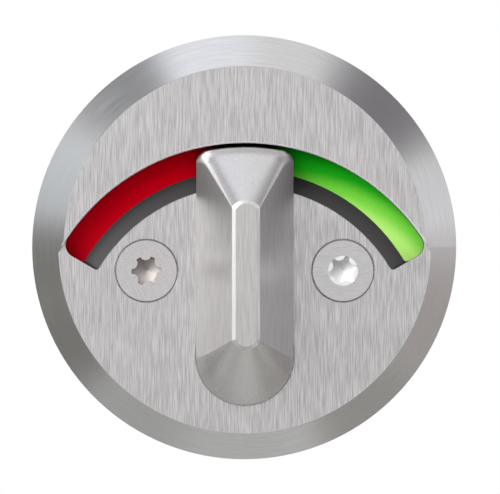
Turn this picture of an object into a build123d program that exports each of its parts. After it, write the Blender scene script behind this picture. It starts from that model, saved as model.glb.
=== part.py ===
from build123d import *
import math
import os

# Indicator thumbturn: a round bevelled rose with a swinging lever over a red and green window.
#
# Everything is modelled in the rose's own face frame, in millimetres: X to the right, Y up the
# door, Z out of the door towards the user, with the door's surface at Z = 0 and the rose's
# centre at X = Y = 0. The lever's pivot lies below that centre. The last step turns every piece
# so that +Z is up, the user stands on the -Y side and the door on the +Y side.
#
# The lever's hub runs in a flanged bush that is pressed into the rose. Behind the bush, two flats
# on the hub carry a cam. The cam's tab meets a stop pin at each end of the quarter turn, and a
# leaf spring drops into one of the cam's notches there. A disc spring and a retaining ring hold
# the stack together. A square spindle is pinned in the hub and works the lock. The red and green
# strips are fixed behind the window, on a moulded retainer, and a base plate closes the back.

# Rose
rose_diameter = 65.0
rose_depth = 10.0          # door to the raised crescent
bevel_width = 4.85         # across the bevel, seen from the front
bevel_angle = 45.0         # between the bevel and the face
crescent_step = 0.8        # raised crescent above the lower face
step_edge_break = 0.2      # broken edge along the crescent
back_edge_break = 0.4      # broken edge round the rim, at the door
web_thickness = 2.55       # lower face to the pocket behind it
pocket_wall = 3.5          # round the pocket

# Window
sweep_radius = 32.5        # pivot to the crescent's edge, which is the window's outer wall
window_width = 4.05        # the coloured floor, between the two walls
window_slope = 45.0        # sloping inner wall, from the face
window_half_angle = 60.0
window_outer_corner = 2.0
window_inner_corner = 0.5

# Lever
lever_travel = 45.0        # each way from upright
lever_width = 14.8
lever_tip_gap = 0.6        # tip to the crescent's edge
lever_tip_corner = 2.0     # where the tip meets the lever's sides, at its foot
lever_tip_round = 4.5      # round between the tip's upright edge and its slope, seen from the side
lever_clearance = 0.2      # underside to the lower face
lever_land = 0.8           # upright edge before the flanks start
lever_rise = 11.0          # ridge above the lower face
ridge_width = 4.22
ridge_low_setback = 8.45   # lever's foot to the ridge's lower end, seen from the front
ridge_high_setback = 8.14  # lever's tip to the ridge's upper end
ridge_low_flatness = 0.12  # lower end's radius beyond half the width
ridge_high_flatness = 0.45 # upper end's radius beyond half the width
ridge_corner = 0.4         # where the upper end meets the ridge's sides
ridge_top_corner = 0.15    # the same, inside the broken edge
ridge_edge_width = 0.55    # broken edge round the ridge, seen from the front
ridge_edge_drop = 0.35

# Hub, bush and the stack behind them, along the pivot's axis
hub_gap = 0.22             # round the lever's foot, which shows as the dark ring
collar_depth = 1.35        # lever's foot in the face
journal_radius = 6.0
running_gap = 0.05
seat_gap = 0.02            # pressed, screwed and pushed-in pieces
bush_wall = 1.0
bush_flange_thickness = 0.8
bush_flange_setback = 0.45  # from the boss's edge
hub_boss_wall = 2.6
hub_flat = 4.8             # pivot to each driving flat
neck_length = 6.0          # behind the door's surface
ring_thickness = 1.0
ring_radial_width = 2.4
ring_groove_depth = 0.55
ring_opening = 50.0        # degrees
ring_lug_radius = 1.3
ring_lug_hole = 0.55
disc_spring_thickness = 0.3
disc_spring_height = 0.6
disc_spring_setback = 0.1  # from the cam's edge
disc_spring_gap = 0.2      # round the hub
cam_thickness = 1.4
cam_radius = 8.9
cam_floor_gap = 0.5        # to the base plate
cam_wall_gap = 0.4         # tab to the pocket's wall
cam_notch_radius = 1.2
cam_notch_depth = 0.5
cam_tab_reach = 0.8        # past the stop pins' centres
cam_tab_half_angle = 10.0
stop_pin_radius = 1.25
stop_pin_gap = 0.3         # to the hub's boss
stop_pin_bite = 1.4        # into the web
stop_pin_overhang = 0.3    # past the cam
stop_gap = 0.4             # degrees between the tab and a pin at the end of the travel
drive_angle = 45.0         # the square stands level when the lever is at either end

# Spindle
spindle_square = 6.0
spindle_length = 45.0
spindle_socket = 5.2       # in front of the door's surface
spindle_end_gap = 0.2
spindle_chamfer = 0.6
spindle_pin_radius = 0.75
spindle_pin_wall = 0.3
spindle_pin_slit = 0.35
spindle_pin_setback = 3.0  # behind the door's surface

# Base plate
base_thickness = 1.5
base_gap = 0.2             # round its edge
base_opening_gap = 0.8     # round the disc spring
post_length = 2.4
post_width = 3.0
post_lip = 0.2             # above the leaf spring
post_end_wall = 0.5        # past the leaf spring's ends
post_boss_gap = 0.6        # to the fixing screws' bosses
base_screw_radius = 1.5
base_screw_length = 6.0
base_screw_head_radius = 2.75
base_screw_boss_wall = 1.5
base_screw_inset = 3.6     # from the pocket's wall
base_screw_side_angle = 123.4   # top screw to each of the others
cross_width = 0.8
cross_span = 3.2
cross_depth = 1.0

# Detent spring
leaf_thickness = 0.4
leaf_height = 1.4
leaf_bump_radius = 1.0
leaf_slot_gap = 0.06
leaf_cam_gap = 0.08

# Fixing screws
screw_spacing = 30.0
screw_rise = 13.0          # above the lever's pivot
screw_radius = 2.5         # over the thread
screw_shank_radius = 2.25  # plain part under the head
screw_length = 30.0
screw_thread_length = 20.0
screw_head_radius = 4.65
screw_head_lip = 0.25
countersink_gap = 0.28     # round the head, at the face
screw_hole_gap = 0.25      # round the thread
screw_boss_wall = 1.85
screw_tip_chamfer = 0.6
thread_pitch = 0.8
thread_crest = 0.125       # flat crest, in pitches
thread_root = 0.25         # flat root, in pitches
thread_flank_angle = 30.0  # from square to the axis
recess_lobes = 6
recess_tip_radius = 2.25
recess_root_radius = 1.6
recess_flute_radius = 0.9
recess_depth = 2.0
recess_point_depth = 0.6   # the punch's blunt point, below the lobes
recess_point_radius = 0.1
recess_turn_angles = {"left": 3.0, "right": 13.0}   # each screw stops where it is tight

# Indicator strips and their retainer
strip_thickness = 0.8
strip_lap = 1.05           # past the window's edge at the pocket
strip_end_lap = 2.2        # degrees past the window's end
strip_wall_gap = 0.5       # to the pocket's wall
strip_joint_gap = 0.05
retainer_skin = 1.2
retainer_edge_gap = 0.1
retainer_peg_radius = 1.2
retainer_peg_angle = 36.0  # from straight up
retainer_peg_recess = 0.3  # peg's end to the door's surface

# Levels and radii that follow from the sizes above
rose_radius = rose_diameter / 2
face_level = rose_depth - crescent_step
pocket_level = face_level - web_thickness
rim_level = rose_depth - bevel_width * math.tan(math.radians(bevel_angle))
pocket_radius = rose_radius - pocket_wall
window_floor_radius = sweep_radius - window_width
window_inner_radius = window_floor_radius - web_thickness / math.tan(math.radians(window_slope))
lever_half = lever_width / 2
lever_tip_radius = sweep_radius - lever_tip_gap
lever_underside = face_level + lever_clearance
arch_turn = math.asin((lever_half - lever_tip_corner) / (lever_tip_radius - lever_tip_corner))
hip_turn = math.asin((ridge_width / 2 - ridge_corner) / (ridge_width / 2 + ridge_high_flatness - ridge_corner))
land_level = lever_underside + lever_land
ridge_level = face_level + lever_rise
ridge_edge_level = ridge_level - ridge_edge_drop
collar_level = face_level - collar_depth
bush_bore_radius = journal_radius + running_gap
bush_outer_radius = bush_bore_radius + bush_wall
hub_boss_radius = bush_outer_radius + hub_boss_wall
bush_flange_radius = hub_boss_radius - bush_flange_setback
cam_bottom = base_thickness + cam_floor_gap
cam_top = cam_bottom + cam_thickness
hub_boss_level = cam_top + bush_flange_thickness
stop_pin_orbit = hub_boss_radius + stop_pin_gap + stop_pin_radius
cam_tab_radius = stop_pin_orbit + cam_tab_reach
disc_spring_radius = cam_radius - disc_spring_setback
ring_top = cam_bottom - disc_spring_height
ring_bottom = ring_top - ring_thickness
ring_groove_radius = journal_radius - ring_groove_depth
base_opening_radius = disc_spring_radius + base_opening_gap
base_screw_boss_radius = base_screw_radius + base_screw_boss_wall
countersink_radius = screw_head_radius + countersink_gap
screw_hole_radius = screw_radius + screw_hole_gap
screw_boss_radius = screw_hole_radius + screw_boss_wall
screw_head_level = face_level - countersink_gap + screw_head_lip + seat_gap
post_end = screw_spacing / 2 - screw_boss_radius - post_boss_gap
leaf_length = 2 * (post_end - post_end_wall)
leaf_level = (cam_bottom + cam_top - leaf_height) / 2
leaf_rise = cam_radius + leaf_cam_gap + leaf_bump_radius + leaf_thickness / 2   # above the pivot
strip_level = pocket_level - strip_thickness
pivot = (0.0, cam_tab_radius + cam_wall_gap - pocket_radius)   # as low as the cam's tab allows
screw_spots = {
    side: (sign * screw_spacing / 2, pivot[1] + screw_rise) for side, sign in (("left", -1), ("right", 1))
}
above = 2 * rose_depth     # clear of the rose, for cutting tools


def cylinder(radius, low, high, spot=(0.0, 0.0)):
    """A round bar along Z between two levels."""
    return Pos(spot[0], spot[1], low) * Cylinder(
        radius, high - low, align=(Align.CENTER, Align.CENTER, Align.MIN)
    )


def cone(low_radius, high_radius, low, high, spot=(0.0, 0.0)):
    """A cone along Z between two levels."""
    return Pos(spot[0], spot[1], low) * Cone(
        low_radius, high_radius, high - low, align=(Align.CENTER, Align.CENTER, Align.MIN)
    )


def block(length, width, low, high, spot=(0.0, 0.0), turn=0.0):
    """A block that stands on Z = low, centred on a spot and turned about Z."""
    return Pos(spot[0], spot[1], low) * Rot(0, 0, turn) * Box(
        length, width, high - low, align=(Align.CENTER, Align.CENTER, Align.MIN)
    )


def plate(sketch, low, high):
    """A flat outline in XY, made solid between two levels."""
    return Pos(0, 0, low) * extrude(sketch, high - low)


def at_pivot(shape):
    """Moves a shape drawn round the origin to the lever's pivot."""
    return Pos(pivot[0], pivot[1], 0) * shape


def on_circle(radius, degrees_from_up, centre=pivot):
    """A point on a circle, with its angle measured from straight up towards the left."""
    angle = math.radians(90 + degrees_from_up)
    return (centre[0] + radius * math.cos(angle), centre[1] + radius * math.sin(angle))


def turned(profile):
    """A solid of revolution about Z from (radius, level) points."""
    return revolve(Plane.XZ * make_face(Polyline(*profile, close=True)), Axis.Z)


def sector(inner, outer, from_angle, to_angle):
    """A flat arc-shaped strip round the pivot. Angles are from straight up towards the left."""
    def spoke(radius, angle):
        return on_circle(radius, angle, (0.0, 0.0))

    middle = (from_angle + to_angle) / 2
    outline = [
        ThreePointArc(spoke(outer, from_angle), spoke(outer, middle), spoke(outer, to_angle)),
        Line(spoke(outer, to_angle), spoke(inner, to_angle)),
        ThreePointArc(spoke(inner, to_angle), spoke(inner, middle), spoke(inner, from_angle)),
        Line(spoke(inner, from_angle), spoke(outer, from_angle)),
    ]
    return make_face(outline)


def base_screw_spots():
    """Where the base plate's screws are: top, left, right."""
    orbit = pocket_radius - base_screw_inset
    angles = (0, base_screw_side_angle, -base_screw_side_angle)
    return [on_circle(orbit, angle, (0.0, 0.0)) for angle in angles]


def two_flats(radius, flat):
    """A round outline with two driving flats, turned to the spindle's angle."""
    return Rot(0, 0, drive_angle) * (Circle(radius) & Rectangle(2 * flat, 4 * radius))


# Rose


def window_tool():
    """What is cut out for the window: an upright outer wall, radial ends, and an inner wall that slopes."""
    top = face_level + crescent_step
    section = [
        (window_floor_radius, pocket_level),
        (sweep_radius, pocket_level),
        (sweep_radius, top),
        (window_inner_radius, top),
        (window_inner_radius, face_level),
    ]
    profile = Plane.XZ * make_face(Polyline(*section, close=True))
    tool = revolve(Rot(0, 0, 90 - window_half_angle) * profile, Axis.Z, 2 * window_half_angle)
    corners = [
        e for e in tool.edges().filter_by(Axis.Z) if math.hypot(e.center().X, e.center().Y) > sweep_radius - 1e-3
    ]
    tool = fillet(corners, window_outer_corner)
    inner = [
        e
        for e in tool.edges().filter_by(GeomType.LINE)
        if window_inner_radius - 1e-3 < math.hypot(e.center().X, e.center().Y) < window_floor_radius
        and abs(e.center().X) > window_inner_radius * math.sin(math.radians(window_half_angle)) - 1e-3
        and pocket_level + 1e-3 < e.center().Z
        and abs((e @ 1).Z - (e @ 0).Z) > 1e-3
    ]
    return at_pivot(fillet(inner, window_inner_corner))


def front_plate():
    """The turned stainless rose, with its crescent, window, hub bore, bosses and back pocket."""
    body = turned(
        [
            (0, 0),
            (rose_radius - back_edge_break, 0),
            (rose_radius, back_edge_break),
            (rose_radius, rim_level),
            (rose_radius - bevel_width, rose_depth),
            (0, rose_depth),
        ]
    )
    body -= cylinder(sweep_radius, face_level, above, pivot)
    broken = cone(
        sweep_radius, sweep_radius + 2 * step_edge_break, rose_depth - step_edge_break,
        rose_depth + step_edge_break, pivot,
    )
    body -= broken
    body -= cylinder(pocket_radius, 0, pocket_level)
    for spot in base_screw_spots():
        body += cylinder(base_screw_boss_radius, base_thickness, pocket_level, spot)
    for spot in screw_spots.values():
        body += cylinder(screw_boss_radius, base_thickness, pocket_level, spot)
    body += cylinder(hub_boss_radius, hub_boss_level, pocket_level, pivot)
    body -= window_tool()
    body -= cylinder(lever_half + hub_gap, collar_level, above, pivot)
    body -= cylinder(bush_outer_radius + seat_gap, 0, collar_level, pivot)
    for spot in screw_spots.values():
        body -= cylinder(screw_hole_radius, 0, above, spot)
        body -= cone(
            screw_hole_radius, countersink_radius,
            face_level - (countersink_radius - screw_hole_radius), face_level, spot,
        )
    for spot in base_screw_spots():
        body -= cylinder(base_screw_radius + seat_gap, 0, base_screw_length + seat_gap, spot)
    for spot in stop_pin_spots():
        body -= cylinder(stop_pin_radius + seat_gap, 0, pocket_level + stop_pin_bite + seat_gap, spot)
    return body


# Lever


def lever_outline(half, peak, hip_arc, corner_arc, low_end, low_arc):
    """The lever seen from the front, round its pivot: straight sides, a round foot, and a tip of
    five arcs that run into each other, which are the arch, a hip on either side of it, and a corner
    between each hip and its side. The arcs of every outline change over in the same directions, so
    the flanks, hips and tip each keep to their own edge from the foot to the ridge. The arch's
    radius follows from the width that its neighbours leave."""
    hips_width = hip_arc * (math.sin(hip_turn) - math.sin(arch_turn))
    corners_width = corner_arc * (1 - math.sin(hip_turn))
    arch_arc = (half - hips_width - corners_width) / math.sin(arch_turn)

    def follow(start, radius, from_turn, to_turn):
        """The middle and the end of an arc, with its turns counted from straight up."""
        x = start[0] - radius * math.sin(from_turn)
        y = start[1] - radius * math.cos(from_turn)
        turns = ((from_turn + to_turn) / 2, to_turn)
        return [(x + radius * math.sin(turn), y + radius * math.cos(turn)) for turn in turns]

    top = (0.0, peak)
    arch_end = follow(top, arch_arc, 0, arch_turn)[1]
    hip_middle, hip_end = follow(arch_end, hip_arc, arch_turn, hip_turn)
    corner_middle, corner_end = follow(hip_end, corner_arc, hip_turn, math.pi / 2)
    foot_y = low_end + low_arc - math.sqrt(max(low_arc**2 - half**2, 0))

    def mirrored(point):
        return (-point[0], point[1])

    edges = [
        Line((half, foot_y), corner_end),
        ThreePointArc(corner_end, corner_middle, hip_end),
        ThreePointArc(hip_end, hip_middle, arch_end),
        ThreePointArc(arch_end, top, mirrored(arch_end)),
        ThreePointArc(mirrored(arch_end), mirrored(hip_middle), mirrored(hip_end)),
        ThreePointArc(mirrored(hip_end), mirrored(corner_middle), mirrored(corner_end)),
        Line(mirrored(corner_end), (-half, foot_y)),
        ThreePointArc((-half, foot_y), (0, low_end), (half, foot_y)),
    ]
    return make_face(edges)


def ridge_outline(inset, corner):
    """The ridge seen from the front, drawn in by an even margin."""
    high_arc = ridge_width / 2 + ridge_high_flatness
    low_arc = ridge_width / 2 + ridge_low_flatness
    high_end = lever_tip_radius - ridge_high_setback
    low_end = ridge_low_setback - lever_half
    return lever_outline(
        ridge_width / 2 - inset, high_end - inset, high_arc - inset, corner, low_end + inset, low_arc - inset
    )


def tip_slope():
    """Angle from upright of the tip's slope, which leaves the round at a tangent for the ridge."""
    across = ridge_high_setback - lever_tip_round
    up = ridge_edge_level - land_level
    return math.pi - math.atan2(up, across) - math.acos(lever_tip_round / math.hypot(across, up))


def lever_section(turn):
    """The lever cut level where its tip's round has turned by an angle from upright. Its flanks and
    its foot keep straight on towards the ridge, and only the tip follows the round."""
    level = land_level + lever_tip_round * math.sin(turn)
    risen = (level - land_level) / (ridge_edge_level - land_level)

    def towards(foot_value, ridge_value):
        return foot_value + (ridge_value - foot_value) * risen

    outline = lever_outline(
        towards(lever_half, ridge_width / 2),
        lever_tip_radius - lever_tip_round * (1 - math.cos(turn)),
        towards(lever_tip_corner, ridge_width / 2 + ridge_high_flatness),
        towards(lever_tip_corner, ridge_corner),
        towards(-lever_half, ridge_low_setback - lever_half),
        towards(lever_half, ridge_width / 2 + ridge_low_flatness),
    )
    return Pos(0, 0, level) * outline


def thumbturn_lever():
    """The cast lever with its ridge, and its hub with a foot, journal, driving flats and socket."""
    foot = lever_outline(lever_half, lever_tip_radius, lever_tip_corner, lever_tip_corner, -lever_half, lever_half)
    body = plate(foot, lever_underside, land_level)
    round_steps = [tip_slope() * step / 3 for step in range(4)]
    body += loft([lever_section(turn) for turn in round_steps])
    ridge_edge = Pos(0, 0, ridge_edge_level) * ridge_outline(0, ridge_corner)
    ridge_top = Pos(0, 0, ridge_level) * ridge_outline(ridge_edge_width, ridge_top_corner)
    body += loft([lever_section(tip_slope()), ridge_edge, ridge_top], ruled=True)
    body += cylinder(lever_half, collar_level, lever_underside)
    body += cylinder(journal_radius, cam_top, collar_level)
    body += plate(two_flats(journal_radius, hub_flat), -neck_length, cam_top)
    groove = cylinder(journal_radius + 1, ring_bottom - seat_gap, ring_top) - cylinder(
        ring_groove_radius, ring_bottom - seat_gap, ring_top
    )
    body -= groove
    body -= block(
        spindle_square + 2 * seat_gap, spindle_square + 2 * seat_gap, -neck_length, spindle_socket,
        turn=drive_angle,
    )
    body -= spindle_pin_bar(spindle_pin_radius + seat_gap, journal_radius)
    return at_pivot(body)


# Hub stack


def hub_bush():
    """The flanged acetal bush that the hub turns in."""
    sleeve = cylinder(bush_outer_radius, hub_boss_level, collar_level)
    flange = cylinder(bush_flange_radius, cam_top, hub_boss_level)
    return at_pivot(sleeve + flange - cylinder(bush_bore_radius, cam_top, collar_level))


def cam_disc():
    """The hardened cam, with a stop tab below and a notch for each end of the travel."""
    outline = Circle(cam_radius) + sector(
        0.5 * cam_radius, cam_tab_radius, 180 - cam_tab_half_angle, 180 + cam_tab_half_angle
    )
    for side in (-1, 1):
        x, y = on_circle(cam_radius + cam_notch_radius - cam_notch_depth, side * lever_travel, (0, 0))
        outline -= Pos(x, y) * Circle(cam_notch_radius)
    outline -= two_flats(journal_radius + running_gap, hub_flat + running_gap)
    return at_pivot(plate(outline, cam_bottom, cam_top))


def disc_spring():
    """A conical spring washer. Its inner edge stands on the ring and its outer edge lifts the cam."""
    inner = journal_radius + disc_spring_gap
    profile = [
        (inner, ring_top),
        (inner, ring_top + disc_spring_thickness),
        (disc_spring_radius, cam_bottom),
        (disc_spring_radius, cam_bottom - disc_spring_thickness),
    ]
    return at_pivot(turned(profile))


def retaining_ring():
    """An open ring in the hub's groove, with two lugs for the pliers."""
    outer = ring_groove_radius + ring_radial_width
    lug_orbit = ring_groove_radius + seat_gap + ring_lug_radius
    outline = Circle(outer)
    for side in (-1, 1):
        x, y = on_circle(lug_orbit, side * ring_opening / 2, (0, 0))
        outline += Pos(x, y) * Circle(ring_lug_radius)
    outline -= sector(0.1, 2 * outer, -ring_opening / 2 + 8, ring_opening / 2 - 8)
    outline -= Circle(ring_groove_radius + seat_gap)
    for side in (-1, 1):
        x, y = on_circle(lug_orbit, side * ring_opening / 2, (0, 0))
        outline -= Pos(x, y) * Circle(ring_lug_hole)
    return at_pivot(plate(outline, ring_bottom, ring_top))


def stop_pin_spots():
    """Where the cam's tab ends its travel on each side, seen from the front: left, then right."""
    half_pin = math.degrees(math.asin(stop_pin_radius / stop_pin_orbit))
    swing = lever_travel + cam_tab_half_angle + stop_gap + half_pin
    return [on_circle(stop_pin_orbit, 180 - swing), on_circle(stop_pin_orbit, 180 + swing)]


def stop_pin(spot):
    """A hardened dowel in the back of the rose."""
    bottom = cam_bottom - stop_pin_overhang
    return cylinder(stop_pin_radius, bottom, pocket_level + stop_pin_bite, spot)


# Spindle


def spindle_pin_bar(radius, half_length):
    """A round bar across the hub's flats, through its neck."""
    bar = Rot(0, 0, drive_angle) * Rot(0, 90, 0) * Cylinder(radius, 2 * half_length)
    return Pos(0, 0, -spindle_pin_setback) * bar


def drive_spindle():
    """The square bar that works the lock."""
    top = spindle_socket - spindle_end_gap
    bar = Box(
        spindle_square, spindle_square, spindle_length, align=(Align.CENTER, Align.CENTER, Align.MAX)
    )
    bar = chamfer(bar.faces().sort_by(Axis.Z)[0].edges(), spindle_chamfer)
    body = Pos(0, 0, top) * Rot(0, 0, drive_angle) * bar
    return at_pivot(body - spindle_pin_bar(spindle_pin_radius + seat_gap, journal_radius))


def spindle_pin():
    """A slotted spring pin through the neck and the spindle."""
    pin = spindle_pin_bar(spindle_pin_radius, hub_flat)
    pin -= spindle_pin_bar(spindle_pin_radius - spindle_pin_wall, journal_radius)
    slit = block(
        2 * journal_radius, spindle_pin_slit, -spindle_pin_setback - spindle_pin_radius,
        -spindle_pin_setback, turn=drive_angle,
    )
    return at_pivot(pin - slit)


# Base plate and what it carries


def detent_spring():
    """A leaf spring whose round bump rides on the cam's edge. Its ends sit in the two posts."""
    outer = leaf_bump_radius + leaf_thickness / 2
    inner = leaf_bump_radius - leaf_thickness / 2
    strip = Rectangle(leaf_length, leaf_thickness) - Rectangle(2 * inner, 2 * leaf_thickness)
    lower_half = Pos(0, -outer / 2) * Rectangle(3 * outer, outer)
    outline = strip + ((Circle(outer) - Circle(inner)) & lower_half)
    return at_pivot(plate(Pos(0, leaf_rise) * outline, leaf_level, leaf_level + leaf_height))


def base_plate():
    """The die-cast plate that closes the back and carries the leaf spring's posts."""
    body = cylinder(pocket_radius - base_gap, 0, base_thickness)
    body -= cylinder(base_opening_radius, 0, base_thickness, pivot)
    leaf_spot = (0, pivot[1] + leaf_rise)
    for side in (-1, 1):
        spot = (side * (post_end - post_length / 2), leaf_spot[1])
        body += block(post_length, post_width, 0, leaf_level + leaf_height + post_lip, spot)
    body -= block(
        leaf_length + 2 * leaf_slot_gap, leaf_thickness + 2 * leaf_slot_gap, leaf_level, above, leaf_spot,
    )
    for spot in screw_spots.values():
        body -= cylinder(screw_hole_radius, 0, base_thickness, spot)
    for spot in retainer_peg_spots():
        body -= cylinder(retainer_peg_radius + seat_gap, 0, base_thickness, spot)
    for spot in base_screw_spots():
        body -= cylinder(base_screw_radius + seat_gap, 0, base_thickness, spot)
        body -= cone(
            base_screw_head_radius + seat_gap, base_screw_radius + seat_gap,
            0, base_screw_head_radius - base_screw_radius, spot,
        )
    return body


def base_screw(spot):
    """A small countersunk screw with a cross recess, driven from the back."""
    head_depth = base_screw_head_radius - base_screw_radius
    body = cone(base_screw_head_radius, base_screw_radius, 0, head_depth, spot)
    body += cylinder(base_screw_radius, head_depth, base_screw_length, spot)
    for turn in (0, 90):
        body -= block(cross_span, cross_width, 0, cross_depth, spot, turn)
    return body


def recess_outline():
    """The six-lobed drive recess: a round hole with flutes left standing between its lobes."""
    outline = Circle(recess_tip_radius)
    for k in range(recess_lobes):
        x, y = on_circle(recess_root_radius + recess_flute_radius, 360 / recess_lobes * k, (0, 0))
        outline -= Pos(x, y) * Circle(recess_flute_radius)
    return outline


def thread_rings(low, high):
    """A threaded length as rings of the thread's own pitch and section, without its helix."""
    flank = thread_pitch * (1 - thread_crest - thread_root) / 2
    root_radius = screw_radius - flank / math.tan(math.radians(thread_flank_angle))
    profile = [(0, low)]
    for ring in range(int((high - low) / thread_pitch)):
        crest_top = low + (ring + thread_crest) * thread_pitch
        profile += [
            (screw_radius, low + ring * thread_pitch),
            (screw_radius, crest_top),
            (root_radius, crest_top + flank),
            (root_radius, crest_top + flank + thread_root * thread_pitch),
        ]
    next_crest = low + int((high - low) / thread_pitch) * thread_pitch
    return turned(profile + [(screw_radius, next_crest), (screw_radius, high), (0, high)])


def fixing_screw(side):
    """A countersunk machine screw with a six-lobed recess, through the rose into the door."""
    spot = screw_spots[side]
    tip = screw_head_level - screw_length
    cone_top = screw_head_level - screw_head_lip
    cone_foot = cone_top - (screw_head_radius - screw_shank_radius)
    thread_top = tip + screw_thread_length
    body = cylinder(screw_head_radius, cone_top, screw_head_level, spot)
    body += cone(screw_shank_radius, screw_head_radius, cone_foot, cone_top, spot)
    body += cylinder(screw_shank_radius, thread_top, cone_foot, spot)
    body += Pos(spot[0], spot[1], 0) * thread_rings(tip + screw_tip_chamfer, thread_top)
    body += cone(screw_radius - screw_tip_chamfer, screw_radius, tip, tip + screw_tip_chamfer, spot)
    recess = plate(Rot(0, 0, recess_turn_angles[side]) * recess_outline(), screw_head_level - recess_depth, above)
    floor = screw_head_level - recess_depth
    point = cone(recess_point_radius, recess_root_radius, floor - recess_point_depth, floor)
    return body - Pos(spot[0], spot[1], 0) * (recess + point)


# Indicator


def strip_outline(from_angle, to_angle, margin=0.0):
    """An arc behind the window, cut back where it would meet the pocket's wall."""
    arc = sector(
        window_floor_radius - strip_lap + margin, sweep_radius + strip_lap - margin, from_angle, to_angle
    )
    return at_pivot(arc) & Circle(pocket_radius - strip_wall_gap - margin)


def indicator_strip(side):
    """One coloured strip, which lies against the back of the rose from upright to the window's end."""
    reach = window_half_angle + strip_end_lap
    ends = {"left": (strip_joint_gap, reach), "right": (-reach, -strip_joint_gap)}[side]
    return plate(strip_outline(*ends), strip_level, pocket_level)


def retainer_peg_spots():
    """Where the retainer's two pegs go through the base plate."""
    orbit = (window_floor_radius + sweep_radius) / 2
    return [on_circle(orbit, side * retainer_peg_angle) for side in (-1, 1)]


def indicator_retainer():
    """The moulded channel that holds both strips against the rose. It stands on the base plate,
    and two pegs keep it in place."""
    reach = window_half_angle + strip_end_lap
    outline = strip_outline(-reach, reach, retainer_edge_gap)
    body = plate(outline, base_thickness, strip_level)
    hollow = offset(outline, -retainer_skin, kind=Kind.INTERSECTION)
    body -= plate(hollow, base_thickness, strip_level - retainer_skin)
    for spot in retainer_peg_spots():
        body += cylinder(retainer_peg_radius, retainer_peg_recess, strip_level, spot)
    return body


def pieces():
    """Every piece by its node's name, in the rose's face frame."""
    left_pin, right_pin = stop_pin_spots()
    top, left, right = base_screw_spots()
    return {
        "front_plate": front_plate(),
        "thumbturn_lever": thumbturn_lever(),
        "hub_bush": hub_bush(),
        "cam_disc": cam_disc(),
        "disc_spring": disc_spring(),
        "retaining_ring": retaining_ring(),
        "stop_pin_left": stop_pin(left_pin),
        "stop_pin_right": stop_pin(right_pin),
        "drive_spindle": drive_spindle(),
        "spindle_pin": spindle_pin(),
        "detent_spring": detent_spring(),
        "base_plate": base_plate(),
        "base_screw_top": base_screw(top),
        "base_screw_left": base_screw(left),
        "base_screw_right": base_screw(right),
        "fixing_screw_left": fixing_screw("left"),
        "fixing_screw_right": fixing_screw("right"),
        "red_indicator": indicator_strip("left"),
        "green_indicator": indicator_strip("right"),
        "indicator_retainer": indicator_retainer(),
    }


os.makedirs("parts", exist_ok=True)
stand_up = Rot(90, 0, 0)   # the door's up becomes +Z, and the user's side becomes -Y
for name, shape in pieces().items():
    export_step(stand_up * shape, f"parts/{name}.step")
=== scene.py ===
# %% [markdown]
# # An indicator thumbturn in satin stainless steel
#
# A thumbturn is the small lever that bolts a bathroom or toilet door from the inside. This one
# turns in a round rose, and swings over an arc-shaped window that shows red on one side and green
# on the other. The solids come from the CAD model. This notebook gives them their finishes, cuts
# real threads on the two fixing screws, and lights and frames the whole as a catalogue photograph.
#
# The row frame is in metres: X runs to the right, Z runs up the door, and the user looks along +Y.

# %% Load the frame
import math

import bpy
import numpy as np
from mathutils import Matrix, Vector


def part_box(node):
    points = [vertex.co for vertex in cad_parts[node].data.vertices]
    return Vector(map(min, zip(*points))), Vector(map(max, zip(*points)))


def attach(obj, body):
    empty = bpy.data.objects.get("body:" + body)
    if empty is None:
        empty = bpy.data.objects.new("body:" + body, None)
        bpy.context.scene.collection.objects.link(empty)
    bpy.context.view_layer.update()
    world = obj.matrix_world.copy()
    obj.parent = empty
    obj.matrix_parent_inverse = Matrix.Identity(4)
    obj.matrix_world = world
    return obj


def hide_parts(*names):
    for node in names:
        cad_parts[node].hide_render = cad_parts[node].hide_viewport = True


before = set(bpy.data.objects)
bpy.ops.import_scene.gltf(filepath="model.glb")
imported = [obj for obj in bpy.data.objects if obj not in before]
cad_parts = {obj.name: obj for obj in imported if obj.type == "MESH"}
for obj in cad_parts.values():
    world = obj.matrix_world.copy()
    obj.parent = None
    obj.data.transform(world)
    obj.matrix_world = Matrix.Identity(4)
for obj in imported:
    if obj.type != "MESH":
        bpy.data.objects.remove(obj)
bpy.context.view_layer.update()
scene = bpy.context.scene
scene.view_settings.view_transform = "Standard"
MM = 0.001

# %% [markdown]
# ## The camera
#
# The photograph looks straight at the rose, from a long way off: the bevel is as wide on every side.
# Only the lever's ridge sits a little to the right of its foot, so the camera stands one degree to
# the left.
# A wide lens close by would show the lever's flanks unevenly, so a long lens a metre away is used.
# The rose isn't quite in the middle of the picture, which a small lens shift gives without turning
# the camera.

# %% Place the camera
IMAGE_WIDTH = 500
IMAGE_HEIGHT = 494
PIXEL = 0.15323 * MM
ROSE_PIXEL = (244.3, 247.2)
# The rose fills the right number of pixels at this height above the door, the bevel's outer edge.
RIM_HEIGHT = 5.15 * MM
CAMERA_DISTANCE = 1.0
CAMERA_AZIMUTH = math.radians(-1.0)
SENSOR = 36.0

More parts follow.
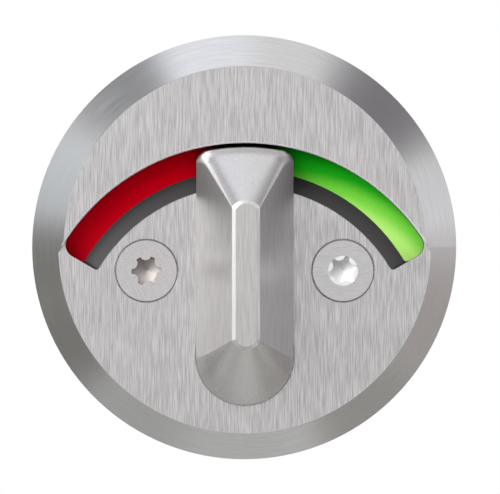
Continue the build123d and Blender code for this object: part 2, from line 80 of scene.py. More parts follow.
camera_data = bpy.data.cameras.new("catalogue_camera")
camera = bpy.data.objects.new("catalogue_camera", camera_data)
scene.collection.objects.link(camera)
camera_data.sensor_fit = "HORIZONTAL"
camera_data.sensor_width = SENSOR
camera_data.lens = SENSOR * CAMERA_DISTANCE / (IMAGE_WIDTH * PIXEL)
camera_data.shift_x = (IMAGE_WIDTH / 2 - ROSE_PIXEL[0]) / IMAGE_WIDTH
camera_data.shift_y = (ROSE_PIXEL[1] - IMAGE_HEIGHT / 2) / IMAGE_WIDTH
camera.location = (
    CAMERA_DISTANCE * math.sin(CAMERA_AZIMUTH),
    -RIM_HEIGHT - CAMERA_DISTANCE * math.cos(CAMERA_AZIMUTH),
    0.0,
)
camera.rotation_euler = (math.pi / 2, 0.0, CAMERA_AZIMUTH)
scene.camera = camera
print(f"lens {camera_data.lens:.0f} mm, view {IMAGE_WIDTH * PIXEL / MM:.1f} mm wide")

# %% [markdown]
# ## Nodes and colours
#
# Every finish below is a small tree of shader nodes. Writing each node and link out by hand would
# take pages, so one helper adds a node, sets it and feeds its inputs. An input can be another node,
# and then comes from the output that this node has in use. Colours are picked as sRGB hex values, as
# a picture editor shows them, and Blender works in linear light, so one function turns them.

# %% Helpers for nodes and colours
def linear(hex_colour):
    """sRGB hex as linear red, green, blue and alpha: straight below 0.04045, a power above it."""
    srgb = np.array([int(hex_colour[i:i + 2], 16) for i in (1, 3, 5)]) / 255
    light = np.where(srgb <= 0.04045, srgb / 12.92, ((srgb + 0.055) / 1.055) ** 2.4)
    return (*light.tolist(), 1.0)


def add_node(tree, kind, inputs=None, **settings):
    """Adds one node with its settings; an input is a value, a hex colour, a socket or a node."""
    node = tree.nodes.new("ShaderNode" + kind)
    for name, value in settings.items():
        setattr(node, name, value)
    for socket, source in (inputs or {}).items():
        if isinstance(source, bpy.types.Node):
            source = next(output for output in source.outputs if output.enabled)
        if isinstance(source, bpy.types.NodeSocket):
            tree.links.new(source, node.inputs[socket])
        elif isinstance(source, str):
            node.inputs[socket].default_value = linear(source)
        else:
            node.inputs[socket].default_value = source
    return node


print("mid grey in linear light:", round(linear("#808080")[0], 3))

# %% [markdown]
# ## The studio
#
# Polished and satin metal has no colour of its own to speak of: it shows what stands round it.
# In the photograph the bevel, which looks straight up, right, down and left all the way round,
# is light at the top, at the right and at the upper left, and dark between them. That is a white
# tent with soft boxes, and with dark and grey cards hung in the gaps. Real cards could be modelled,
# but they would stand in the way of other views, so they are soft patches of the world, each round
# one direction. The camera sees the plain white tent, and the metal sees the tent with its cards.
# The world isn't sampled as a lamp, because such rays would stop at the floor.

# %% Hang the cards in the tent
def direction(clockwise, from_camera):
    """Unit vector from_camera degrees off the camera's axis, clockwise degrees round from the top."""
    turn, lean = math.radians(clockwise), math.radians(from_camera)
    return (math.sin(lean) * math.sin(turn), -math.cos(lean), math.sin(lean) * math.cos(turn))


# Each card: colour, middle, and the half angles in degrees where it begins and where it is full.
CARDS = {
    "pale_round_camera": ("#F0F0F0", direction(0, 0), 40, 16),
    "black_under_camera": ("#000000", direction(182, 38), 34, 22),
    "black_beside_camera": ("#000000", direction(100, 40), 28, 14),
    "dark_upper_right": ("#747178", direction(45, 96), 24, 9),
    "white_right": ("#F4F4FA", direction(76, 90), 13, 6),
    "grey_right": ("#B8B1AD", direction(108, 95), 27, 12),
    "grey_lower_right": ("#A6A49F", direction(142, 95), 27, 12),
    "pale_below": ("#D0D1CF", direction(180, 95), 28, 12),
    "grey_lower_left": ("#B4B5B2", direction(212, 95), 24, 10),
    "dark_lower_left": ("#6E6C65", direction(242, 93), 22, 10),
    "dark_left": ("#62625A", direction(266, 92), 22, 8),
    "dim_left": ("#B8C0C7", direction(294, 97), 22, 10),
    "dark_upper_left": ("#55585F", direction(321, 95), 21, 9),
}

world = bpy.data.worlds.new("white_tent")
scene.world = world
world.use_nodes = True
world.cycles.sampling_method = "NONE"
tent = world.node_tree
tent.nodes.clear()
looking = add_node(tent, "TexCoord").outputs["Generated"]
shade = "#FFFFFF"
for hex_colour, centre, outer, inner in CARDS.values():
    along = add_node(tent, "VectorMath", {0: looking, 1: centre}, operation="DOT_PRODUCT")
    edge = add_node(tent, "MapRange", {
        "Value": along,
        "From Min": math.cos(math.radians(outer)),
        "From Max": math.cos(math.radians(inner)),
    }, interpolation_type="SMOOTHSTEP")
    shade = add_node(tent, "MixRGB", {"Fac": edge, "Color1": shade, "Color2": hex_colour})
is_camera = add_node(tent, "LightPath").outputs["Is Camera Ray"]
cards_in = add_node(tent, "Background", {"Color": shade, "Strength": 1.0})
plain_white = add_node(tent, "Background", {"Color": "#FFFFFF", "Strength": 1.0})
seen = add_node(tent, "MixShader", {0: is_camera, 1: cards_in, 2: plain_white})
add_node(tent, "OutputWorld", {"Surface": seen})
print(len(CARDS), "cards in the tent")

# %% [markdown]
# Four round soft boxes stand in the tent. The key box at the left lights the flat faces and the
# lever's left flank, and draws the bright line down the ridge's left edge. The small one above it
# lights the lever's left hip. Weak ones above and at the right lift the top and the right of the
# bevel. A box is given by half the angle that it fills, seen from the part. An area lamp spreads
# its watts over its face, so the power for a brightness is that brightness times pi times the area.

# %% Set up the soft boxes
BOX_DISTANCE = 0.8
# Each box: direction, half angle in degrees, brightness against the white tent, colour.
SOFT_BOXES = {
    "key_box": (direction(300, 51), 21, 5.60, "#FEFFFF"),
    "upper_left_box": (direction(321, 58), 13, 2.80, "#FDFEFF"),
    "top_box": (direction(350, 79), 17, 0.39, "#D2E2FF"),
    "right_box": (direction(91, 67), 18, 0.40, "#F0ECFF"),
}
for name, (towards, half_angle, brightness, hex_colour) in SOFT_BOXES.items():
    radius = BOX_DISTANCE * math.tan(math.radians(half_angle))
    lamp = bpy.data.lights.new(name, "AREA")
    lamp.shape = "DISK"
    lamp.size = 2 * radius
    lamp.energy = brightness * math.pi * math.pi * radius ** 2
    lamp.color = linear(hex_colour)[:3]
    box = bpy.data.objects.new(name, lamp)
    scene.collection.objects.link(box)
    box.visible_camera = False
    box.location = np.array(towards) * BOX_DISTANCE
    box.rotation_euler = (-box.location).to_track_quat("-Z", "Z").to_euler()
    print(f"{name}: {lamp.energy:.2f} W")

# %% [markdown]
# The floor is a wide pale sheet a little below the part, which hangs on a door in real use and so
# touches nothing here. Near the part the camera sees the sheet with its soft shadow. Far off it
# fades into the tent's plain white, so that no horizon shows behind the rose. The metal looks
# through the sheet altogether, so that it shows the same tent below as above.

# %% Lay the pale floor
FLOOR_LEVEL = -0.16
FLOOR_HALF = 12.0
FLOOR_FADE = (0.45, 1.4)

floor_mesh = bpy.data.meshes.new("pale_floor")
corner = np.array([[-1, -1], [1, -1], [1, 1], [-1, 1]]) * FLOOR_HALF
floor_points = np.column_stack([corner, np.full(4, FLOOR_LEVEL)])
floor_mesh.from_pydata(floor_points.tolist(), [], [(0, 1, 2, 3)])
floor = bpy.data.objects.new("pale_floor", floor_mesh)
scene.collection.objects.link(floor)

paper = bpy.data.materials.new("matt_white_paper")
paper.use_nodes = True
tree = paper.node_tree
tree.nodes.clear()
place = add_node(tree, "TexCoord").outputs["Object"]
flat = add_node(tree, "VectorMath", {0: place, 1: (1, 1, 0)}, operation="MULTIPLY")
reach = add_node(tree, "VectorMath", {0: flat}, operation="LENGTH")
fade = add_node(tree, "MapRange", {
    "Value": reach, "From Min": FLOOR_FADE[0], "From Max": FLOOR_FADE[1],
}, interpolation_type="SMOOTHSTEP")
path = add_node(tree, "LightPath")
far_off = add_node(tree, "Math", {0: fade, 1: path.outputs["Is Camera Ray"]}, operation="MULTIPLY")
unseen = add_node(tree, "Math", {0: far_off, 1: path.outputs["Is Glossy Ray"]}, operation="MAXIMUM")
matt = add_node(tree, "BsdfDiffuse", {"Color": "#F2F2F0"})
surface = add_node(tree, "MixShader", {0: unseen, 1: matt, 2: add_node(tree, "BsdfTransparent")})
add_node(tree, "OutputMaterial", {"Surface": surface})
floor_mesh.materials.append(paper)
print(f"floor {abs(FLOOR_LEVEL) / MM:.0f} mm below the rose's centre")

# %% [markdown]
# ## Satin stainless steel
#
# The rose and the lever are type 304 stainless steel, ground with a belt. Each grit of the belt
# leaves a scratch under a tenth of a millimetre wide and a few millimetres long, so the surface
# looks streaky along the belt and smooth across it, and highlights spread across the grain. Such a
# scratch is narrower than a pixel of this picture, so it is drawn about a pixel wide.
# A photograph of real grain would do, but it would carry its own light. A noise that is stretched
# along the grain gives the same streaks at any size, and it drives colour, roughness and bump
# together, because a deeper scratch is darker, rougher and lower at once.

# %% Streaks for ground metal
NOISE_SPREAD = (0.30, 0.70)
PIECE_TO_WORLD = {"vector_type": "VECTOR", "convert_from": "OBJECT", "convert_to": "WORLD"}


def new_finish(name):
    """A material with an empty node tree, and that tree."""
    material = bpy.data.materials.new(name)
    material.use_nodes = True
    material.node_tree.nodes.clear()
    return material, material.node_tree


def upright(width, length):
    """Scale that counts a place in scratch widths across the grain and scratch lengths up it."""
    return (1 / width, 1 / width, 1 / length)


def scratches(tree, counted):
    """Noise over the counted place: its raw height, and the same pushed apart into deep 0 and clear 1."""
    height = add_node(tree, "TexNoise", {"Vector": counted, "Scale": 1.0, "Detail": 3.0, "Roughness": 0.6})
    clear = add_node(tree, "MapRange", {
        "Value": height, "From Min": NOISE_SPREAD[0], "From Max": NOISE_SPREAD[1],
    }, interpolation_type="SMOOTHSTEP")
    return height, clear


print("a scratch of 0.1 by 4 mm is counted with", [round(n) for n in upright(0.1 * MM, 4 * MM)], "per metre")

# %% [markdown]
# The rose has two grains. Its flat faces are ground upright, and its bevel and rim are turned on a
# lathe, which leaves fine rings. Several materials would need the faces sorted. One material does it
# all, because each region can be told by a distance: on the bevel the distance from the axis plus
# the height above the door is always the same, and there the streaks run round the rose.
# The sloping wall inside the window and the wall opposite were milled and are only smooth. They
# face each other across a narrow slot, where little light gets in, and that shade is painted into
# their colour as dark grey. The raised crescent's edge along the window was broken with a stone,
# which left it matt, and a bright line of light along it is painted into its colour as near white.

# %% The rose's steel
rose_low, rose_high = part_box("front_plate")
ROSE_RADIUS = (rose_high[0] - rose_low[0]) / 2
CRESCENT_TOP = -rose_low[1]
CRESCENT_STEP = 0.8 * MM
FACE_HEIGHT = CRESCENT_TOP - CRESCENT_STEP
BEVEL_SUM = ROSE_RADIUS + RIM_HEIGHT
PIVOT = (0, 0, -16.6 * MM)
WINDOW_INNER = 25.9 * MM
WINDOW_OUTER = 32.5 * MM
SLOT_BOTTOM = 5.0 * MM
BROKEN_EDGE = 0.24 * MM
HAIR = 0.04 * MM

SCRATCH_WIDTH = 0.17 * MM
SCRATCH_LENGTH = 4.2 * MM
# The real rings lie 0.05 mm apart, and are drawn a pixel apart.
RING_WIDTH = 0.15 * MM
RING_LENGTH = 7.0 * MM
# Roughness in the deep scratches and on the clear metal.
GROUND_ROUGHNESS = (0.34, 0.28)
TURNED_ROUGHNESS = (0.27, 0.22)
SLOT_ROUGHNESS = 0.80
EDGE_ROUGHNESS = 0.85


def rose_steel():
    """Ground faces, a turned bevel, a milled slot with painted shade and a stoned edge with a painted
    highlight on one solid.
    """
    material, tree = new_finish("stainless_steel_ground_and_turned")
    place = add_node(tree, "TexCoord").outputs["Object"]
    split = add_node(tree, "SeparateXYZ", {0: place})
    height = add_node(tree, "Math", {0: split.outputs["Y"], 1: -1.0}, operation="MULTIPLY")
    flat = add_node(tree, "VectorMath", {0: place, 1: (1, 0, 1)}, operation="MULTIPLY")
    radius = add_node(tree, "VectorMath", {0: flat}, operation="LENGTH")
    reach = add_node(tree, "Math", {0: radius, 1: height}, operation="ADD")
    from_pivot = add_node(tree, "VectorMath", {0: flat, 1: PIVOT}, operation="DISTANCE")
    angle = add_node(tree, "Math", {0: split.outputs["X"], 1: split.outputs["Z"]}, operation="ARCTAN2")

    # Each region: what is measured, where it is 0, and where it is 1.
    regions = {
        "bevel": (reach, BEVEL_SUM - 2 * HAIR, BEVEL_SUM - HAIR),
        "rim": (radius, ROSE_RADIUS - 2 * HAIR, ROSE_RADIUS - HAIR),
        "past_slope": (from_pivot, WINDOW_INNER - HAIR, WINDOW_INNER),
        "off_back": (height, SLOT_BOTTOM - HAIR, SLOT_BOTTOM),
        "below_face": (height, FACE_HEIGHT - HAIR, FACE_HEIGHT - 2 * HAIR),
        "by_window": (from_pivot, WINDOW_OUTER + BROKEN_EDGE, WINDOW_OUTER + BROKEN_EDGE - HAIR),
        "on_crescent": (height, CRESCENT_TOP - BROKEN_EDGE, CRESCENT_TOP - BROKEN_EDGE + HAIR),
    }
    within = {
        region: add_node(tree, "MapRange", {"Value": measured, "From Min": none, "From Max": full},
                         interpolation_type="SMOOTHSTEP")
        for region, (measured, none, full) in regions.items()
    }
    turned = add_node(tree, "Math", {0: within["bevel"], 1: within["rim"]}, operation="MAXIMUM")
    in_slot = add_node(tree, "Math", {0: 1.0, 1: turned}, operation="SUBTRACT")
    for region in ("past_slope", "off_back", "below_face"):
        in_slot = add_node(tree, "Math", {0: in_slot, 1: within[region]}, operation="MULTIPLY")
    on_edge = add_node(tree, "Math", {0: within["by_window"], 1: within["on_crescent"]},
                       operation="MULTIPLY")

    # Inputs 4 and 5 of the Mix node are its two vectors.
    streaks = add_node(tree, "VectorMath", {0: place, 1: upright(SCRATCH_WIDTH, SCRATCH_LENGTH)},
                       operation="MULTIPLY")
    rings = add_node(tree, "CombineXYZ", {
        0: add_node(tree, "Math", {0: radius, 1: RING_WIDTH}, operation="DIVIDE"),
        1: add_node(tree, "Math", {0: height, 1: RING_WIDTH}, operation="DIVIDE"),
        2: add_node(tree, "Math", {0: angle, 1: ROSE_RADIUS / RING_LENGTH}, operation="MULTIPLY"),
    })
    counted = add_node(tree, "Mix", {"Factor": turned, 4: streaks, 5: rings}, data_type="VECTOR")
    grain, clear = scratches(tree, counted)

    ground_colour = add_node(tree, "MixRGB", {"Fac": clear, "Color1": "#B8B5B5", "Color2": "#E1DFDF"})
    turned_colour = add_node(tree, "MixRGB", {"Fac": clear, "Color1": "#C7C6C6", "Color2": "#D2D1D1"})
    # Painted highlight: a near-white line on the crescent's stoned edge; its matt roughness is the stone's.
    colour = add_node(tree, "MixRGB", {"Fac": on_edge, "Color1": ground_colour, "Color2": "#FFFCFF"})
    colour = add_node(tree, "MixRGB", {"Fac": turned, "Color1": colour, "Color2": turned_colour})
    # Painted shade: the slot's walls get dark grey colour for the shade in the narrow slot.
    colour = add_node(tree, "MixRGB", {"Fac": in_slot, "Color1": colour, "Color2": "#666464"})

    deep, smooth = (
        add_node(tree, "MapRange", {"Value": turned, "To Min": on_face, "To Max": on_bevel})
        for on_face, on_bevel in zip(GROUND_ROUGHNESS, TURNED_ROUGHNESS)
    )
    roughness = add_node(tree, "MapRange", {"Value": clear, "To Min": deep, "To Max": smooth})
    roughness = add_node(tree, "MapRange", {"Value": on_edge, "To Min": roughness, "To Max": EDGE_ROUGHNESS})
    roughness = add_node(tree, "MapRange", {"Value": in_slot, "To Min": roughness, "To Max": SLOT_ROUGHNESS})

    outward = add_node(tree, "VectorMath", {0: flat}, operation="NORMALIZE")
    across = add_node(tree, "Mix", {"Factor": turned, 4: (1, 0, 0), 5: outward}, data_type="VECTOR")
    shader = add_node(tree, "BsdfPrincipled", {
        "Base Color": colour,
        "Metallic": 1.0,
        "Roughness": roughness,
        "Anisotropic": 0.55,
        "Normal": add_node(tree, "Bump", {"Height": grain, "Strength": 0.5, "Distance": 0.007 * MM}),
        "Tangent": add_node(tree, "VectorTransform", {0: across}, **PIECE_TO_WORLD),
    })
    add_node(tree, "OutputMaterial", {"Surface": shader})
    return material


print(f"rose: radius {ROSE_RADIUS / MM:.1f} mm, face {FACE_HEIGHT / MM:.1f} mm above the door")

# %% [markdown]
# The lever is ground upright all over, also across its sloping ends, so its grain needs no bends.
# It reads the lever's own coordinates, so the scratches swing with it. So does the direction across
# them, along which highlights spread.

# %% The lever's steel
LEVER_SCRATCH_WIDTH = 0.13 * MM
LEVER_SCRATCH_LENGTH = 4.0 * MM
LEVER_ROUGHNESS = (0.37, 0.31)


def lever_steel():
    """Upright scratches on the lever's own coordinates."""
    material, tree = new_finish("stainless_steel_ground_lengthwise")
    place = add_node(tree, "TexCoord").outputs["Object"]
    counted = add_node(tree, "VectorMath", {0: place, 1: upright(LEVER_SCRATCH_WIDTH, LEVER_SCRATCH_LENGTH)},
                       operation="MULTIPLY")
    grain, clear = scratches(tree, counted)
    deep, smooth = LEVER_ROUGHNESS
    shader = add_node(tree, "BsdfPrincipled", {
        "Base Color": add_node(tree, "MixRGB", {"Fac": clear, "Color1": "#C4C2C1", "Color2": "#DAD8D7"}),
        "Metallic": 1.0,
        "Roughness": add_node(tree, "MapRange", {"Value": clear, "To Min": deep, "To Max": smooth}),
        "Anisotropic": 0.72,
        "Normal": add_node(tree, "Bump", {"Height": grain, "Strength": 0.5, "Distance": 0.005 * MM}),
        "Tangent": add_node(tree, "VectorTransform", {0: (1, 0, 0)}, **PIECE_TO_WORLD),
    })
    add_node(tree, "OutputMaterial", {"Surface": shader})
    return material


print(f"lever: scratches {LEVER_SCRATCH_LENGTH / MM:.1f} mm long")

# %% [markdown]
# ## The fixing screws
#
# Two M5 countersunk screws of bright stainless steel clamp the rose through the door. The CAD
# model has rings of the thread's pitch and section, which is enough for fitting them. Seen from
# behind, 20 mm of each stands out, and there a real thread winds round. A helix could be carved
# with a boolean, but a screw is simpler as one skin: rings of points from the bottom of the drive
# recess, up its six-lobed wall, over the head and down the cone and shank to the tip. In the
# thread, a point's radius depends on how far along and how far round it is, and that alone makes
# the helix.

# %% A skin of rings
SHARP_FROM = math.radians(32)


def skin(name, rings):
    """A closed mesh: each ring of points joins the next, and the end rings close at their middles."""
    count, around = rings.shape[:2]
    points = np.vstack([rings.reshape(-1, 3), rings[0].mean(axis=0), rings[-1].mean(axis=0)])
    ring, step = np.meshgrid(np.arange(count - 1), np.arange(around), indexing="ij")
    here, there = ring * around, (ring + 1) * around
    beside = (step + 1) % around
    walls = np.stack([here + step, here + beside, there + beside, there + step], axis=-1).reshape(-1, 4)
    step = np.arange(around)
    beside = (step + 1) % around
    first, last = count * around, count * around + 1
    start_fan = np.column_stack([np.full(around, first), beside, step])
    end_ring = (count - 1) * around
    end_fan = np.column_stack([end_ring + step, end_ring + beside, np.full(around, last)])
    mesh = bpy.data.meshes.new(name)
    mesh.from_pydata(points.tolist(), [], walls.tolist() + start_fan.tolist() + end_fan.tolist())
    mesh.shade_smooth()
    mesh.set_sharp_from_angle(angle=SHARP_FROM)
    piece = bpy.data.objects.new(name, mesh)
    scene.collection.objects.link(piece)
    return piece


print(f"edges sharper than {math.degrees(SHARP_FROM):.0f} degrees stay sharp")

# %% Work out the screw's outline
AROUND = 120
SHANK_RADIUS = 2.25 * MM
THREAD_RADIUS = 2.5 * MM
THREAD_PITCH = 0.8 * MM
# Flanks at 60 degrees to each other: five eighths of the height of a triangle a pitch wide.
THREAD_DEPTH = 0.5413 * THREAD_PITCH
# Flats of crest and root as shares of a pitch.
CREST_FLAT = 1 / 8
ROOT_FLAT = 1 / 4
THREAD_LENGTH = 20.0 * MM
RINGS_PER_PITCH = 10
TIP_CHAMFER = 0.6 * MM
HEAD_RADIUS = 4.65 * MM
HEAD_LIP = 0.25 * MM
EDGE_BREAK = 0.05 * MM
LOBES = 6
LOBE_RADIUS = 2.25 * MM
FLUTE_RADIUS = 0.9 * MM
WEB_RADIUS = 1.6 * MM
RECESS_DEPTH = 2.0 * MM
POINT_DEPTH = 0.6 * MM
POINT_RADIUS = 0.1 * MM

clockwise = np.arange(AROUND) * 2 * math.pi / AROUND


def lobed_radius(turn):
    """The lobes' circle, cut back to the near side of each flute's circle where a ray meets that."""
    spacing = 2 * math.pi / LOBES
    off = (clockwise + math.radians(turn) + spacing / 2) % spacing - spacing / 2
    centre = WEB_RADIUS + FLUTE_RADIUS
    chord = FLUTE_RADIUS ** 2 - (centre * np.sin(off)) ** 2
    near_side = centre * np.cos(off) - np.sqrt(np.maximum(chord, 0))
    return np.where(chord > 0, np.minimum(near_side, LOBE_RADIUS), LOBE_RADIUS)


def thread_rings(start, end):
    """Radius: root to crest and back over a pitch, with the crest one pitch further on after a turn."""
    depth = np.linspace(start, end, round((end - start) / THREAD_PITCH * RINGS_PER_PITCH) + 1)[:, None]
    phase = (depth / THREAD_PITCH - clockwise / (2 * math.pi)) % 1.0
    from_crest = np.minimum(phase, 1 - phase)
    crest_end, root_start = CREST_FLAT / 2, (1 - ROOT_FLAT) / 2
    tooth = np.clip((root_start - from_crest) / (root_start - crest_end), 0, 1)
    radius = THREAD_RADIUS - THREAD_DEPTH * (1 - tooth)
    run_in = np.clip((depth - start) / THREAD_PITCH, 0, 1)
    radius = SHANK_RADIUS + (radius - SHANK_RADIUS) * run_in
    tip_cone = THREAD_RADIUS - TIP_CHAMFER + (end - depth)
    return np.minimum(radius, tip_cone), depth


def screw_rings(head_top, tip, turn):
    """All rings of one screw as radius and depth along Y, from the recess's point to the tip."""
    lobes = lobed_radius(turn)
    recess_floor = head_top + RECESS_DEPTH
    cone_top = head_top + HEAD_LIP
    profile = [
        (POINT_RADIUS, recess_floor + POINT_DEPTH),
        (WEB_RADIUS, recess_floor),
        (lobes, recess_floor),
        (lobes, head_top + EDGE_BREAK),
        (lobes + EDGE_BREAK, head_top),
        (HEAD_RADIUS - EDGE_BREAK, head_top),
        (HEAD_RADIUS, head_top + EDGE_BREAK),
        (HEAD_RADIUS, cone_top),
        (SHANK_RADIUS, cone_top + HEAD_RADIUS - SHANK_RADIUS),
    ]
    thread_radius, thread_depth = thread_rings(tip - THREAD_LENGTH, tip)
    radius = np.vstack([np.broadcast_to(r, AROUND) for r, _ in profile] + [thread_radius])
    depth = np.concatenate([[d for _, d in profile], thread_depth[:, 0]])
    return radius, np.repeat(depth[:, None], AROUND, axis=1)


print(f"{AROUND} points round each screw")

# %% Make both screws
# How far each recess is turned, in degrees.
SCREW_TURNS = {"fixing_screw_left": 3.0, "fixing_screw_right": 13.0}
screws = {}
for node, turn in SCREW_TURNS.items():
    low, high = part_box(node)
    radius, depth = screw_rings(low[1], high[1], turn)
    middle = (np.array(low) + np.array(high)) / 2
    rings = np.stack([
        middle[0] + radius * np.sin(clockwise),
        depth,
        middle[2] + radius * np.cos(clockwise),
    ], axis=-1)
    piece = skin(node.replace("fixing_screw", "threaded_screw"), rings)
    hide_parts(node)
    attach(piece, "rose")
    screws[node] = piece
    print(f"{piece.name}: {len(piece.data.polygons)} faces, {(high[1] - low[1]) / MM:.1f} mm long")

# %% [markdown]
# Cold-headed stainless steel is matt where the punch pressed the recess, and the light in the
# recess is painted into its colour: near white in the right screw, a little darker and warmer in
# the left. The head is faced with a fine stone, which leaves short scratches at whatever angle the
# screw came to rest.

# %% The screws' steel
HEAD_SCRATCH_WIDTH = 0.11 * MM
HEAD_SCRATCH_LENGTH = 1.2 * MM
HEAD_ROUGHNESS = (0.30, 0.24)
RECESS_ROUGHNESS = 0.50


def screw_steel(name, axis, grain_turn, recess_painted_light):
    """Fine short scratches, turned with the screw, and a matt punched recess round its axis, with light
    painted into its colour.
    """
    material, tree = new_finish(name)
    place = add_node(tree, "TexCoord").outputs["Object"]
    turned = add_node(tree, "Mapping", {"Vector": place, "Rotation": (0, math.radians(grain_turn), 0)})
    counted = add_node(tree, "VectorMath", {0: turned, 1: upright(HEAD_SCRATCH_WIDTH, HEAD_SCRATCH_LENGTH)},
                       operation="MULTIPLY")
    grain, clear = scratches(tree, counted)
    flat = add_node(tree, "VectorMath", {0: place, 1: (1, 0, 1)}, operation="MULTIPLY")
    from_axis = add_node(tree, "VectorMath", {0: flat, 1: axis}, operation="DISTANCE")
    on_head = add_node(tree, "MapRange", {
        "Value": from_axis, "From Min": LOBE_RADIUS, "From Max": LOBE_RADIUS + EDGE_BREAK,
    }, interpolation_type="SMOOTHSTEP")
    faced = add_node(tree, "MixRGB", {"Fac": clear, "Color1": "#CDCBCB", "Color2": "#D8D6D6"})
    deep, smooth = HEAD_ROUGHNESS
    stoned = add_node(tree, "MapRange", {"Value": clear, "To Min": deep, "To Max": smooth})
    shader = add_node(tree, "BsdfPrincipled", {
        "Base Color": add_node(tree, "MixRGB", {"Fac": on_head, "Color1": recess_painted_light, "Color2": faced}),
        "Metallic": 1.0,
        "Roughness": add_node(tree, "MapRange", {
            "Value": on_head, "To Min": RECESS_ROUGHNESS, "To Max": stoned}),
        "Anisotropic": 0.3,
        "Normal": add_node(tree, "Bump", {"Height": grain, "Strength": 0.4, "Distance": 0.004 * MM}),
    })
    add_node(tree, "OutputMaterial", {"Surface": shader})
    return material


# Each head: how far its scratches are turned in degrees, and its recess's colour, which is painted light.
HEADS = {"left": (38, "#CAC4C2"), "right": (96, "#FFFFFF")}
for side, (grain_turn, recess_painted_light) in HEADS.items():
    low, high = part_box(f"fixing_screw_{side}")
    axis = ((low[0] + high[0]) / 2, 0, (low[2] + high[2]) / 2)
    steel = screw_steel(f"stainless_steel_faced_{side}", axis, grain_turn, recess_painted_light)
    screws[f"fixing_screw_{side}"].data.materials.append(steel)
    print(f"{steel.name}: round the axis at {axis[0] / MM:.1f}, {axis[2] / MM:.1f} mm")

# %% [markdown]
# ## The coloured strips
#
# Each strip is a punched piece of white ABS sheet, screen-printed in matt ink. The ink shows no
# reflection at all, so the shader has no specular part. Both colours run through a blend that is
# partly print and partly painted light and shade: a near-black painted shadow behind the lever's
# tip, painted shade beside the lever and along the outer wall, and painted light along the slope
# and at the far end, where the green's print also turns to lime. Two flat colours with an edge
# would be simpler but wrong, so one number is worked out at each point, from the angle round the
# lever's pivot and the distance from it, and it leads through four colours. The green changes as
# much across the window as along it, the red hardly. The lever's flanks mirror the strips without
# their colour, because the metal sees plain grey in their place: a painted reflection.

# %% Red and green ink with painted shade
WINDOW_WIDTH = 4.05 * MM
INK_GRAIN = 0.25 * MM
# Painted shadow of the lever's tip: near black within this angle of the middle, gone by LEVER_EDGE.
TIP_SHADOW_FULL = math.radians(6)
LEVER_EDGE = math.radians(17)
WINDOW_END = math.radians(60)
# Where on the blend, which paints shade and light, each further colour sets in and where it is full.
BLEND_STEPS = [(0.0, 0.5), (0.5, 1.1), (1.0, 1.5)]
INK_SHADES = (0.94, 1.06)


def strip_print_and_shade(name, weight, first, *others):
    """Matt print through its colours as the angle plus the weighted distance inwards grows, with painted
    shade and light and a painted shadow behind the lever's tip.
    """
    material, tree = new_finish(name)
    place = add_node(tree, "TexCoord").outputs["Object"]
    flat = add_node(tree, "VectorMath", {0: place, 1: (1, 0, 1)}, operation="MULTIPLY")
    from_pivot = add_node(tree, "VectorMath", {0: flat, 1: PIVOT}, operation="SUBTRACT")
    distance = add_node(tree, "VectorMath", {0: from_pivot}, operation="LENGTH")
    inward = add_node(tree, "MapRange", {
        "Value": distance, "From Min": WINDOW_OUTER, "From Max": WINDOW_OUTER - WINDOW_WIDTH,
        "To Max": weight,
    }, clamp=False)
    split = add_node(tree, "SeparateXYZ", {0: from_pivot})
    signed = add_node(tree, "Math", {0: split.outputs["X"], 1: split.outputs["Z"]}, operation="ARCTAN2")
    angle = add_node(tree, "Math", {0: signed}, operation="ABSOLUTE")
    along = add_node(tree, "MapRange", {
        "Value": angle, "From Min": LEVER_EDGE, "From Max": WINDOW_END,
    }, clamp=False)
    blend = add_node(tree, "Math", {0: along, 1: inward}, operation="ADD")

    # The blend's colours paint shade beside the lever and along the outer wall and light along the slope;
    # the green's turn to lime is its print.
    colour = first
    for (start, end), following in zip(BLEND_STEPS, others):
        amount = add_node(tree, "MapRange", {"Value": blend, "From Min": start, "From Max": end},
                          interpolation_type="SMOOTHSTEP")
        colour = add_node(tree, "MixRGB", {"Fac": amount, "Color1": colour, "Color2": following})
    # Painted shadow: near black behind the lever's tip, fading out towards the lever's edge.
    clear_of_tip_shadow = add_node(tree, "MapRange", {
        "Value": angle, "From Min": TIP_SHADOW_FULL, "From Max": LEVER_EDGE,
    }, interpolation_type="SMOOTHSTEP")
    colour = add_node(tree, "MixRGB", {"Fac": clear_of_tip_shadow, "Color1": "#0B0B0B", "Color2": colour})
    in_metal = add_node(tree, "LightPath").outputs["Is Glossy Ray"]
    colour = add_node(tree, "MixRGB", {"Fac": in_metal, "Color1": colour, "Color2": "#3C3B39"})

    speck = add_node(tree, "TexNoise", {"Vector": place, "Scale": 1 / INK_GRAIN, "Detail": 2.0})
    darkest, lightest = INK_SHADES
    shade_of_speck = add_node(tree, "MapRange", {"Value": speck, "To Min": darkest, "To Max": lightest})
    shader = add_node(tree, "BsdfPrincipled", {
        "Base Color": add_node(tree, "VectorMath", {0: colour, "Scale": shade_of_speck}, operation="SCALE"),
        "Roughness": 0.75,
        "Specular IOR Level": 0.0,
        "Normal": add_node(tree, "Bump", {"Height": speck, "Strength": 0.3, "Distance": 0.003 * MM}),
    })
    add_node(tree, "OutputMaterial", {"Surface": shader})
    return material


# Each strip's four colours run dark to light: painted shade and light, and for the green also its print
# turning to lime.
red_strip = strip_print_and_shade("abs_sheet_red_print_and_painted_shade", 0.2, "#A3000F", "#AC0012", "#B20316", "#B5071E")
green_strip = strip_print_and_shade("abs_sheet_green_print_and_painted_shade", 0.85, "#007A0A", "#189A16", "#6EC43E", "#A6DA6C")
print("inks:", red_strip.name, green_strip.name)

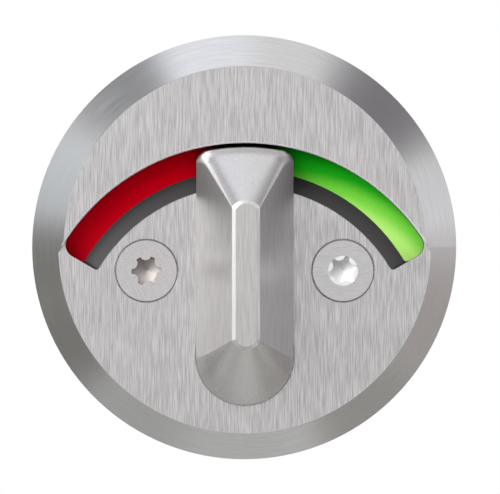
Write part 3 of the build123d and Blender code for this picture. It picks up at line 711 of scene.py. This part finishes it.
# %% [markdown]
# ## The pieces behind the rose
#
# Each hidden piece has the finish of its process, as a maker would order it. They all follow one
# recipe: a noise at the real size of the surface's grain, in millimetres, drives the colour, the
# roughness and the bump. The sizes and colours tell them apart:
#
# - the bush is natural acetal, injection moulded, waxy white with hardly any grain
# - the cam and the two stop pins are hardened steel, brownish grey under oil
# - the springs, the ring and the slotted pin are spring steel with a black phosphate, which is a
#   mat of small crystals
# - the spindle and the small screws are zinc plated, bright and slightly blue, and the spindle is
#   a drawn bar, so its lines run along it
# - the retainer is black glass-filled nylon from a spark-eroded mould
# - the base plate is die-cast zinc, left bare, with a matt skin and the soft clouds of its flow

# %% Finishes of the hidden pieces
CLOUD_SPREAD = (0.32, 0.68)
# The grain's size along X, Y and Z and the depth of its relief are in millimetres.
FINISHES = {
    "acetal_moulded_natural": {
        "metallic": 0.0, "dark": "#E2DFD6", "light": "#EAE8E0", "rough": (0.38, 0.46),
        "grain": (0.9, 0.9, 0.9), "depth": 0.004, "nodes": ["hub_bush"]},
    "steel_hardened_and_oiled": {
        "metallic": 1.0, "dark": "#6A6661", "light": "#85827E", "rough": (0.30, 0.42),
        "grain": (0.8, 0.8, 0.8), "depth": 0.004, "nodes": ["cam_disc", "stop_pin_left", "stop_pin_right"]},
    "spring_steel_phosphated": {
        "metallic": 1.0, "dark": "#2C2D30", "light": "#46474B", "rough": (0.48, 0.62),
        "grain": (0.12, 0.12, 0.12), "depth": 0.006,
        "nodes": ["disc_spring", "retaining_ring", "detent_spring", "spindle_pin"]},
    "steel_bright_zinc_plated": {
        "metallic": 1.0, "dark": "#BBC1C9", "light": "#CDD1D6", "rough": (0.24, 0.34),
        "grain": (0.5, 0.5, 0.5), "depth": 0.003,
        "nodes": ["base_screw_top", "base_screw_left", "base_screw_right"]},
    "drawn_steel_bright_zinc_plated": {
        "metallic": 1.0, "dark": "#B4BAC2", "light": "#CDD1D6", "rough": (0.24, 0.36),
        "grain": (0.18, 9.0, 0.18), "depth": 0.005, "nodes": ["drive_spindle"]},
    "nylon_moulded_black": {
        "metallic": 0.0, "dark": "#141517", "light": "#1E1F21", "rough": (0.48, 0.60),
        "grain": (0.2, 0.2, 0.2), "depth": 0.010, "nodes": ["indicator_retainer"]},
    "zinc_die_cast_bare": {
        "metallic": 1.0, "dark": "#8C8F92", "light": "#A3A6A8", "rough": (0.42, 0.55),
        "grain": (1.6, 1.6, 1.6), "depth": 0.012, "nodes": ["base_plate"]},
}


def grained_finish(name, metallic, dark, light, rough, grain, depth, nodes):
    """Noise at the grain's own size in mm drives colour, roughness and bump; returns the material for each
    node.
    """
    material, tree = new_finish(name)
    place = add_node(tree, "TexCoord").outputs["Object"]
    counted = add_node(tree, "VectorMath", {0: place, 1: tuple(1 / (size * MM) for size in grain)},
                       operation="MULTIPLY")
    noise = add_node(tree, "TexNoise", {"Vector": counted, "Scale": 1.0, "Detail": 4.0})
    amount = add_node(tree, "MapRange", {
        "Value": noise, "From Min": CLOUD_SPREAD[0], "From Max": CLOUD_SPREAD[1],
    }, interpolation_type="SMOOTHSTEP")
    smoothest, roughest = rough
    shader = add_node(tree, "BsdfPrincipled", {
        "Base Color": add_node(tree, "MixRGB", {"Fac": amount, "Color1": dark, "Color2": light}),
        "Metallic": metallic,
        "Roughness": add_node(tree, "MapRange", {
            "Value": amount, "To Min": roughest, "To Max": smoothest}),
        "Normal": add_node(tree, "Bump", {"Height": noise, "Strength": 0.6, "Distance": depth * MM}),
    })
    add_node(tree, "OutputMaterial", {"Surface": shader})
    return {node: material for node in nodes}


finish_of = {}
for name, values in FINISHES.items():
    finish_of.update(grained_finish(name, **values))
print(len(FINISHES), "finishes for", len(finish_of), "hidden pieces")

# %% [markdown]
# ## Dress the nodes
#
# Each CAD node keeps its shape, and its one material slot gets its finish.

# %% Assign every finish
finish_of.update({
    "front_plate": rose_steel(),
    "thumbturn_lever": lever_steel(),
    "red_indicator": red_strip,
    "green_indicator": green_strip,
    "fixing_screw_left": screws["fixing_screw_left"].data.materials[0],
    "fixing_screw_right": screws["fixing_screw_right"].data.materials[0],
})
for name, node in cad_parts.items():
    node.material_slots[0].material = finish_of[name]
print(len(finish_of), "nodes dressed")
